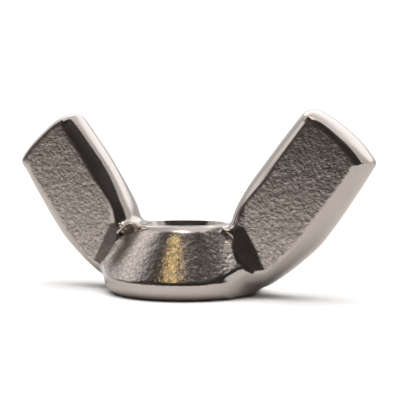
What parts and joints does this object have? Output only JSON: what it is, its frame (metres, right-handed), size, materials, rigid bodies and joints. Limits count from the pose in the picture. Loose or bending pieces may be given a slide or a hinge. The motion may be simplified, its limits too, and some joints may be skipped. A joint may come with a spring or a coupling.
{
  "type": "wing nut",
  "caption": "Forged wing nut: a conical hub with a right-hand metric thread through it and a pair of upright edged wings to turn it by hand.",
  "frame": {"origin": "centre of the bearing face, on the thread's axis, at the underside of the hub", "axes": "+Z along the thread's axis from the bearing face to the wings; +X through the wings, towards right_wing; +Y through the wings' thickness"},
  "size_m": [0.0396, 0.0164, 0.0187],
  "materials": {
    "hub_steel": "forged and tumbled stainless steel, orange-peel skin, bright machined thread and mouth",
    "wing_steel": "forged and tumbled stainless steel, orange-peel faces and smooth polished rims"
  },
  "bodies": {
    "root": {"hub": "hub_steel", "left_wing": "wing_steel", "right_wing": "wing_steel"}
  },
  "joints": []
}
